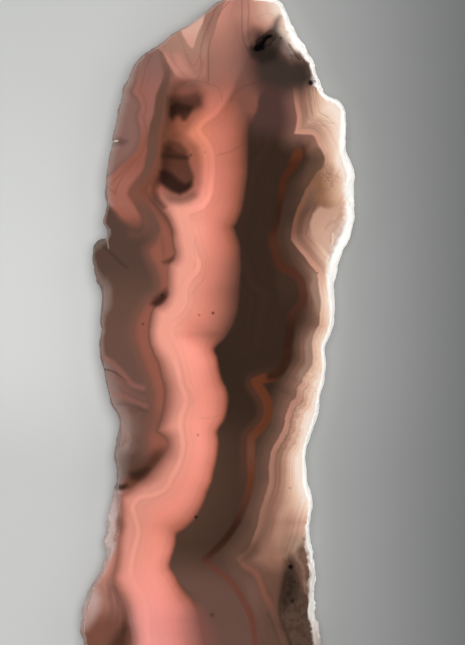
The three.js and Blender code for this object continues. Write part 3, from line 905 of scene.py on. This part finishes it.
        pale = self.blend(pale, look.fawn, tan_band * 0.6)
        crest = self.blend(look.dusty_pink, look.petal, self.soft(peach, 0, 12))
        pale = self.blend(pale, crest, self.above(20, 42) * (1 - self.soft(peach, 10, 30)) * 0.55)
        # Painted shade: the pale side darkens towards the foot.
        pale = self.blend(pale, look.taupe, self.below(566, 600) * self.soft(peach, 8, 18) * 0.7)
        pale = self.blend(pale, look.bark, self.below(566, 612) * self.soft(peach, 14, 26) * 0.5)
        return self.blend(pale, look.taupe, self.below(596, 622) * 0.6)

    def patches(self, stone):
        """Single features: the crest's fold, the lens, ochre, matrix, dusk and chips."""
        look, y = self.look, self.y
        fold = self.down([(20, look.putty), (48, look.putty), (62, look.dusty_rose),
                          (74, look.dusty_rose), (82, look.dusty_brown)])
        hem = self.line(self.attribute("fold"), 3, 2.5, 4) * self.between(52, 90, 6)
        fold = self.blend(fold, look.dusty_pink, hem * (1 - self.soft(self.x, 192, 204)) * 0.8)
        stone = self.blend(stone, fold, self.patch("fold", 3) * self.above(70, 86) * 0.85)
        stone = self.blend(stone, look.dusty_brown, self.patch("fold", 3)
                           * self.soft(self.x - y * 0.2, 192, 202) * self.above(28, 60) * 0.6)
        glow = self.blend(look.dusty_pink, look.rust, self.below(68, 84))
        stone = self.blend(stone, glow, self.patch("fold_glow", 8) * 0.6)
        wedge = self.blend(look.petal, look.dusty_pink, self.below(24, 52) * 0.8)
        stone = self.blend(stone, wedge, self.patch("wedge", 2))
        stone = self.blend(stone, look.blush, self.patch("lens", 4) * 0.8)
        speckle = self.noise(self.place, 1800, 2, 0.7)
        clusters = self.soft(self.noise(self.place, 380, 2), 0.38, 0.54)
        golden = self.soft(self.x + self.mottle * 10 - (y - 175) * 0.3, 315, 333)
        ochre = self.blend(look.honey, look.ochre, golden)
        ochre = self.blend(ochre, look.clay, self.soft(speckle, 0.47, 0.57) * clusters
                           * self.between(164, 192, 6) * 0.7)
        stone = self.blend(stone, ochre, self.patch("ochre", 12) * 0.6)
        stone = self.blend(stone, look.olive, self.patch("brown_lobe", 4) * 0.5)
        lobe = self.blend(look.lilac, look.peony, 0.25 + 0.25 * self.below(598, 620))
        stone = self.blend(stone, lobe, self.patch("pale_lobe", 13) * 0.8)
        stone = self.blend(stone, look.frost, self.patch("chip_glow", 8) * 0.15)
        stone = self.blend(stone, look.smoke, self.patch("chip", 6) * 0.2)
        stone = self.blend(stone, look.lichen, self.patch("chip_top", 4) * 0.7)
        rough = self.soft(self.noise(self.place, 650, 4, 0.6), 0.4, 0.62)
        rough = self.blend(look.ash, look.bark, rough * 0.85)
        stone = self.blend(stone, rough, self.patch("matrix", 10) * 0.9)
        crusty = self.blend(look.crust, look.taupe,
                            self.soft(self.mottle + self.ripple * 0.4, -0.1, 0.12))
        stone = self.blend(stone, crusty, self.patch("tan_crust", 7) * 0.85)
        dusk_edge = self.attribute("dusk") + self.mottle * 14
        scree = self.line(dusk_edge, -8, 10, 6) * self.soft(self.x, 270, 280) * self.above(58, 70)
        gravel = self.blend(look.scree, look.frost,
                            self.soft(self.mottle + self.ripple * 0.5, -0.05, 0.15))
        gravel = self.blend(gravel, look.chalk, self.soft(-dusk_edge, 4, 12))
        stone = self.blend(stone, gravel, scree * 0.85)
        # Painted shade: the recess and the stone round the vug are darkened towards grey-black.
        gloom = self.blend(look.plum, look.soot, self.soft(self.x, 270, 288))
        stone = self.blend(stone, gloom, self.patch("dusk", 22, 3) * 0.8)
        stone = self.blend(stone, look.soot, self.patch("dusk", 12, -4) * 0.85)
        stone = self.blend(stone, look.soot, self.patch("soot", 9) * 0.85)
        return stone

    def marks(self, stone):
        """Soft shadows and thin marks."""
        look = self.look
        lit = (1 - self.attribute("shadow") - self.mottle * 0.1).at_least(0.02) ** 2.2
        dim = self.shade(lit, [(0, (0, 0, 0)), (0.1, (0.1, 0.108, 0.095)),
                               (0.35, (0.35, 0.362, 0.34)), (1, (1, 1, 1))])
        stone = self.tinted(stone, dim)
        for name, tone, fade in (("dark_mark", look.umber, 1.1), ("pale_mark", look.ivory, 1.1),
                                 ("rose_mark", look.rose, 1.9)):
            across = name + "_near" if name == "rose_mark" else name
            shown = self.line(self.attribute(across) + self.ripple * 0.6, 0, 0.95, fade)
            shown = shown * (1 - self.soft(self.attribute(name + "_near"), 1.4, 2.2))
            stone = self.blend(stone, tone, shown * self.attribute(name + "_force"))
        return stone

    def pores(self):
        """How clear the stone is of the black vug at the crest and of the small round pores."""
        clear = 1 - self.soft(self.attribute("vug") + self.drift * 2.6, -1.4, 1.0)
        for px, py, radius, force in PORES:
            spot = self.node("ShaderNodeCombineXYZ", {}, {0: self.x, 1: self.y})
            far = self.node("ShaderNodeVectorMath", {"operation": "DISTANCE"},
                            {0: spot, 1: (px, py, 0)}, 1)
            clear = (1 - force * (1 - self.soft(far, radius * 0.4, radius * 1.3))) * clear
        return clear

    def finished(self):
        """Lays the bands side by side, then the patches, the rind, the marks and the frost."""
        look, rim = self.look, self.rim
        stone = self.blend(self.left_side(), self.salmon_body(), self.soft(self.salmon_edge, -2, 2))
        blur = self.course([(0, 2), (40, 2), (56, 6), (80, 6), (98, 1), (580, 1), (600, 2),
                            (625, 5)])
        stone = self.blend(stone, self.umber_body(), self.soft(self.umber_edge / blur, -2.5, 2.5))
        ease = 1.5 + 4 * self.above(30, 60) + 3 * self.between(545, 640, 15)
        stone = self.blend(stone, self.pale_side(), self.soft(self.peach_edge / ease, -1, 1))
        stone = self.patches(stone)
        band = self.course([(0, 5), (22, 6), (36, 9), (50, 9), (57, 6), (64, 3.4), (82, 3),
                            (96, 5.5), (150, 7.5), (215, 12), (250, 12), (285, 7), (320, 3),
                            (440, 2.2), (465, 3), (510, 3), (545, 5), (575, 5), (640, 6)])
        rindward = self.soft(self.peach_edge, 1, 9).at_least(
            self.soft(self.x, 270, 286) * self.above(84, 100))
        uneven = self.ripple * 5 + self.mottle * 10 * self.above(70, 100)
        faint = 1 - 0.45 * self.below(556, 590)
        # The white rind is white stone, painted brighter still with the glow of its thin edge.
        crust = rindward * faint * (1 - self.ramp((rim + uneven) / band, 0.35, 1.1))
        stone = self.blend(stone, look.pearl, crust * 0.95)
        stone = self.blend(stone, look.rind, crust * crust)
        stone = self.marks(stone)
        wall = self.attribute("wall") * (1 - self.soft(self.attribute("rim_distance"), 5, 9))
        frost = self.course([(0, 0.5), (60, 0.35), (180, 0.25), (205, 0.1), (255, 0.08), (290, 0.1),
                             (350, 0.06), (385, 0.1), (440, 0.18), (478, 0.3), (500, 0.5)])
        frosted = self.blend(stone, look.lilac, frost + self.grain * 0.5)
        white = rindward * self.course([(540, 1), (560, 0.75), (580, 0.6), (600, 0.8), (620, 0.5),
                                        (640, 0.1)])
        thin = self.between(515, 600, 10) * 0.85 + self.between(59, 84, 5) * 0.7
        white = white * (1 - self.soft(self.attribute("rim_distance"), 1.5, 4.5) * thin)
        frosted = self.blend(frosted, look.rind, white * (0.92 + self.grain * 0.2))
        clear = self.pores()
        stone = self.blend(display(12, 9, 8), self.blend(stone, frosted, wall), clear)
        # Painted glow: the white rind and rim give off a faint light of their own through emission.
        lit_rim = white * (crust * crust).at_least(wall) * clear
        glowing = self.blend((0, 0, 0), look.rind, lit_rim * 0.26)
        dull = self.patch("vug", 4, 4) + self.patch("matrix", 4, 4) + self.patch("dusk", 6, 4)
        bump = self.node("ShaderNodeBump", {}, {
            "Strength": 0.3, "Distance": 0.0002, "Height": (self.grain + self.ripple) * wall})
        roughness = 0.28 + wall * 0.4 + dull.at_most(1) * 0.6
        shader = self.node("ShaderNodeBsdfPrincipled", {}, {
            "Base Color": stone, "Roughness": roughness, "Normal": bump,
            "IOR": 1.5, "Specular IOR Level": 0.12,
            "Subsurface Weight": 0.1, "Subsurface Radius": (1.0, 0.45, 0.3),
            "Subsurface Scale": 0.001,
            "Emission Color": glowing, "Emission Strength": 1.0})
        self.node("ShaderNodeOutputMaterial", {}, {0: shader})
        return self.material


def floor_finish(near, far):
    """A plain matt board with painted shade in its colour: it grows dimmer from the left to the
    right and towards its ends.
    """
    board = Finish("pale_floor")
    place = board.node("ShaderNodeTexCoord", output=3)
    across = board.node("ShaderNodeSeparateXYZ", {}, {0: place}, "X")
    along = board.node("ShaderNodeSeparateXYZ", {}, {0: place}, "Y")
    dimness = 0.24 * board.soft(along, 0.01, 0.1) + 0.18 * board.soft(-along, 0.0, 0.035)
    tone = board.blend(near, far, board.soft(across, -0.03, 0.085))
    shader = board.node("ShaderNodeBsdfPrincipled", {}, {
        "Base Color": board.blend(tone, DIM_FLOOR, dimness),
        "Roughness": 0.8, "Specular IOR Level": 0.2})
    board.node("ShaderNodeOutputMaterial", {}, {0: shader})
    return board.material


# ---------------------------------------------------------------- modelling helpers

def only(piece):
    """Selects one object alone."""
    if bpy.context.object and bpy.context.object.mode != "OBJECT":
        bpy.ops.object.mode_set(mode="OBJECT")
    bpy.ops.object.select_all(action="DESELECT")
    piece.select_set(True)
    bpy.context.view_layer.objects.active = piece


def corners(mesh):
    flat = np.empty(len(mesh.vertices) * 3)
    mesh.vertices.foreach_get("co", flat)
    return flat.reshape(-1, 3)


def normals(mesh):
    flat = np.empty(len(mesh.vertices) * 3)
    mesh.vertex_normals.foreach_get("vector", flat)
    return flat.reshape(-1, 3)


def store(mesh, name, values):
    layer = mesh.attributes.new(name, "FLOAT", "POINT")
    layer.data.foreach_set("value", np.asarray(values, np.float32))


def spots_of(at):
    """Where points of the stone fall on the sheet."""
    x = at[:, 0] / SQUARE + SHEET_X + (THICKNESS - at[:, 2]) * BAND_LEAN / SQUARE
    return np.stack([x, SHEET_Y - at[:, 1] / SQUARE], 1)


def in_area(area, spots):
    """Whether each spot lies in an upright rectangle of the sheet: left, right, top, bottom."""
    left, right, top, bottom = area
    x, y = spots.T
    return (x > left) & (x < right) & (y > top) & (y < bottom)


# Places on the sheet where the broken rim is evened out or has calmer crystals
RECESS_CENTRE = (299, 73)
RECESS_RADIUS = 17
RECESS_DEPTH = 0.003
RECESS_ROUNDS = 24
RIND_AREA = (280, 400, 95, 545)
RIND_ROUNDS = 10
CALM_RIGHT = (280, 400, 90, 545)
CALM_LEFT = (0, 200, 150, 480)
CALM_SHARE = 0.35

# How upright the surface is: the normal's height below which it belongs to the rim, and the fade
STEEP = 0.9
CRYSTAL_START, CRYSTAL_FADE = 0.93, 0.25
WALL_START, WALL_FADE = 0.97, 0.12

EDGE_KEPT = 0.0009       # the crystals fade out this close to the flat faces
LEAST_LOOSE = 0.02       # where less than this share of the relief is left, nothing moves
LIFT_SHARE = 0.7         # a crystal's height, as a share of the relief
MOST_STEP = 1.3          # the furthest that a corner moves, in reliefs
CRYSTAL_SEED = 11
CREASE_ANGLE = 28        # degrees
MIDDLE_LAYER = (0.25, 0.6)    # the part of the thickness that the rim's distance is taken from


class CALCITE_OT_slab(bpy.types.Operator):
    """Model the stone from a merged copy of its solid, break its rim, and draw its bands"""
    bl_idname = "calcite.slab"
    bl_label = "Banded Slab"

    def execute(self, context):
        look = context.scene.calcite_stone
        piece = self.merged_copy()
        self.refine(piece, look)
        self.grow_crystals(piece, look)
        self.draw_bands(piece)
        piece.data.materials.clear()
        piece.data.materials.append(Stone(look).finished())
        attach(piece, "root")
        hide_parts(NODE)
        return {"FINISHED"}

    def merged_copy(self):
        only(bpy.data.objects[NODE])
        bpy.ops.object.duplicate()
        piece = bpy.context.object
        piece.name = piece.data.name = "banded_slab"
        only(piece)
        bpy.ops.object.mode_set(mode="EDIT")
        bpy.ops.mesh.select_all(action="SELECT")
        bpy.ops.mesh.remove_doubles(threshold=1e-6)
        bpy.ops.object.mode_set(mode="OBJECT")
        return piece

    def refine(self, piece, look):
        remesh = piece.modifiers.new("cells", "REMESH")
        remesh.mode = "VOXEL"
        remesh.voxel_size = look.facet
        bpy.ops.object.modifier_apply(modifier=remesh.name)
        at = corners(piece.data)
        for level in (LOW.z, HIGH.z):
            flat = abs(at[:, 2] - level) < look.facet * 0.45
            at[flat, 2] = level
        at[:, 2] = np.clip(at[:, 2], LOW.z, HIGH.z)
        piece.data.vertices.foreach_set("co", at.ravel())
        piece.data.update()
        spots = spots_of(at)
        recess = np.hypot(*(spots - RECESS_CENTRE).T) < RECESS_RADIUS
        self.soften(piece, recess & (at[:, 2] > HIGH.z - RECESS_DEPTH), RECESS_ROUNDS)
        steep = abs(normals(piece.data)[:, 2]) < STEEP
        raised = at[:, 2] > LOW.z + 1e-5
        self.soften(piece, in_area(RIND_AREA, spots) & steep & raised, RIND_ROUNDS)

    def soften(self, piece, chosen, rounds):
        """Evens out the chosen corners of the mesh."""
        only(piece)
        bpy.ops.object.mode_set(mode="EDIT")
        bpy.ops.mesh.select_all(action="DESELECT")
        bpy.ops.object.mode_set(mode="OBJECT")
        piece.data.vertices.foreach_set("select", chosen)
        bpy.ops.object.mode_set(mode="EDIT")
        bpy.ops.mesh.vertices_smooth(factor=0.5, repeat=rounds)
        bpy.ops.object.mode_set(mode="OBJECT")

    def grow_crystals(self, piece, look):
        """Breaks the rim into small tilted crystal faces, each with its own height."""
        mesh = piece.data
        at, normal = corners(mesh), normals(mesh)
        steep = np.clip((CRYSTAL_START - abs(normal[:, 2])) / CRYSTAL_FADE, 0, 1)
        inner = np.clip(np.minimum(at[:, 2] - LOW.z, HIGH.z - at[:, 2]) / EDGE_KEPT, 0, 1)
        loose = np.flatnonzero(steep * inner > LEAST_LOOSE)
        chance = random.Random(CRYSTAL_SEED)
        share = (look.facet / look.crystal) ** 2
        seeds = [i for i in loose if chance.random() < share]
        tree = KDTree(len(seeds))
        for k, i in enumerate(seeds):
            tree.insert(at[i], k)
        tree.balance()
        lift = [chance.uniform(-1, 1) for _ in seeds]
        tilt = [Vector([chance.uniform(-1, 1) for _ in range(3)]) for _ in seeds]
        moved = at.copy()
        spots = spots_of(at)
        calm = in_area(CALM_RIGHT, spots) | in_area(CALM_LEFT, spots)
        inner = np.where(calm, inner * CALM_SHARE, inner)
        for i in loose:
            seed, k, _ = tree.find(at[i])
            step = lift[k] * LIFT_SHARE + (Vector(at[i]) - seed).dot(tilt[k]) / look.crystal
            step = max(-MOST_STEP, min(MOST_STEP, step)) * look.relief * steep[i] * inner[i]
            moved[i] += normal[i] * step
        moved[:, 2] = np.clip(moved[:, 2], LOW.z, HIGH.z)
        mesh.vertices.foreach_set("co", moved.ravel())
        mesh.update()
        only(piece)
        bpy.ops.object.shade_smooth_by_angle(angle=math.radians(CREASE_ANGLE))

    def draw_bands(self, piece):
        mesh = piece.data
        at, normal = corners(mesh), normals(mesh)
        spots = spots_of(at)
        store(mesh, "sheet_x", spots[:, 0])
        store(mesh, "sheet_y", spots[:, 1])
        for name, lines in LINES.items():
            store(mesh, name, right_of(lines, spots))
        for name, outline in PATCHES.items():
            store(mesh, name, inside_of(outline, spots))
        store(mesh, "shadow", shadows_on(spots))
        for name, marks in MARKS.items():
            for suffix, values in zip(("", "_near", "_force"), marks_on(marks, spots)):
                store(mesh, name + suffix, np.clip(values, -99, 99))
        height = (at[:, 2] - LOW.z) / THICKNESS
        mid = np.flatnonzero((height > MIDDLE_LAYER[0]) & (height < MIDDLE_LAYER[1]))
        tree = KDTree(len(mid))
        for k, i in enumerate(mid):
            tree.insert((at[i, 0], at[i, 1], 0), k)
        tree.balance()
        far = [tree.find((px, py, 0))[2] / SQUARE for px, py in at[:, :2]]
        store(mesh, "rim_distance", far)
        store(mesh, "wall", np.clip((WALL_START - abs(normal[:, 2])) / WALL_FADE, 0, 1))


WHITE = (1.0, 1.0, 1.0)
DIM_FLOOR = (0.16, 0.163, 0.162)
FLOOR_SIZE = 3
AIR_TINT = (0.95, 0.97, 1.0, 1)
AIR_STRENGTH = 0.14
# Lamps: name, place, diameter, the setting that gives the power, share of it, tint
LAMPS = (
    ("top_lamp", (0.1, 0.15, 1.45), 1.2, "top", 1.0, WHITE),
    ("right_lamp", (0.8, 0.25, 0.5), 0.7, "side", 1.0, (1.0, 0.98, 0.95)),
    ("left_lamp", (-0.8, -0.1, 0.5), 0.7, "side", 1.0, (0.97, 0.98, 1.0)),
    ("far_lamp", (-0.1, 0.9, 0.5), 0.7, "side", 0.6, WHITE),
    ("near_lamp", (0.1, -0.9, 0.5), 0.7, "side", 0.6, WHITE),
)
VIEW_CENTRE = (232.5, 322.5)
VIEW_HEIGHT = 645        # squares of the sheet that the view holds from top to bottom
SENSOR = 24              # millimetres


class CALCITE_OT_stage(bpy.types.Operator):
    """Lay the pale floor, hang the lamps and set the camera over the slab"""
    bl_idname = "calcite.stage"
    bl_label = "Floor, Lamps and Camera"

    def execute(self, context):
        look = context.scene.calcite_stage
        self.floor(look)
        for name, place, size, setting, share, tint in LAMPS:
            self.lamp(name, place, size, getattr(look, setting) * share, tint)
        bpy.data.objects["top_lamp"].visible_glossy = False
        self.surround(context)
        self.camera(context, look)
        return {"FINISHED"}

    def floor(self, look):
        bpy.ops.object.select_all(action="DESELECT")
        bpy.ops.mesh.primitive_plane_add(size=FLOOR_SIZE, location=(0, 0, 0))
        floor = bpy.context.object
        floor.name = floor.data.name = "pale_floor"
        floor.data.materials.append(floor_finish(tuple(look.floor), tuple(look.floor_far)))

    def lamp(self, name, place, size, power, tint):
        bpy.ops.object.light_add(type="AREA", location=place)
        lamp = bpy.context.object
        lamp.name = lamp.data.name = name
        lamp.data.shape = "DISK"
        lamp.data.size = size
        lamp.data.energy = power
        lamp.data.color = tint
        aim = Vector((0, 0, THICKNESS / 2)) - Vector(place)
        lamp.rotation_euler = aim.to_track_quat("-Z", "Y").to_euler()

    def surround(self, context):
        world = bpy.data.worlds.new("studio_air")
        context.scene.world = world
        world.use_nodes = True
        air = world.node_tree.nodes["Background"]
        air.inputs["Color"].default_value = AIR_TINT
        air.inputs["Strength"].default_value = AIR_STRENGTH
        context.scene.view_settings.view_transform = "Standard"

    def camera(self, context, look):
        middle = ((VIEW_CENTRE[0] - SHEET_X) * SQUARE, (SHEET_Y - VIEW_CENTRE[1]) * SQUARE)
        bpy.ops.object.camera_add(location=(*middle, THICKNESS + look.distance), rotation=(0, 0, 0))
        camera = bpy.context.object
        camera.name = camera.data.name = "camera"
        camera.data.sensor_fit = "VERTICAL"
        camera.data.sensor_height = SENSOR
        camera.data.lens = SENSOR * look.distance / (VIEW_HEIGHT * SQUARE)
        context.scene.camera = camera


class CALCITE_PT_panel(bpy.types.Panel):
    """Lists the stone's and the stage's operators"""
    bl_idname = "CALCITE_PT_panel"
    bl_label = "Banded Calcite Slab"
    bl_space_type = "VIEW_3D"
    bl_region_type = "UI"
    bl_category = "Calcite"

    def draw(self, context):
        for owner, operator in ((context.scene.calcite_stone, CALCITE_OT_slab),
                                (context.scene.calcite_stage, CALCITE_OT_stage)):
            for key in owner.bl_rna.properties.keys():
                if key not in ("rna_type", "name"):
                    self.layout.prop(owner, key)
            self.layout.operator(operator.bl_idname)


CLASSES = (CalciteSettings, StageSettings, CALCITE_OT_slab, CALCITE_OT_stage, CALCITE_PT_panel)


def register():
    for cls in CLASSES:
        bpy.utils.register_class(cls)
    bpy.types.Scene.calcite_stone = PointerProperty(type=CalciteSettings)
    bpy.types.Scene.calcite_stage = PointerProperty(type=StageSettings)


def unregister():
    del bpy.types.Scene.calcite_stage
    del bpy.types.Scene.calcite_stone
    for cls in reversed(CLASSES):
        bpy.utils.unregister_class(cls)


def main():
    register()
    bpy.ops.calcite.slab()
    bpy.ops.calcite.stage()


if __name__ == "__main__":
    main()
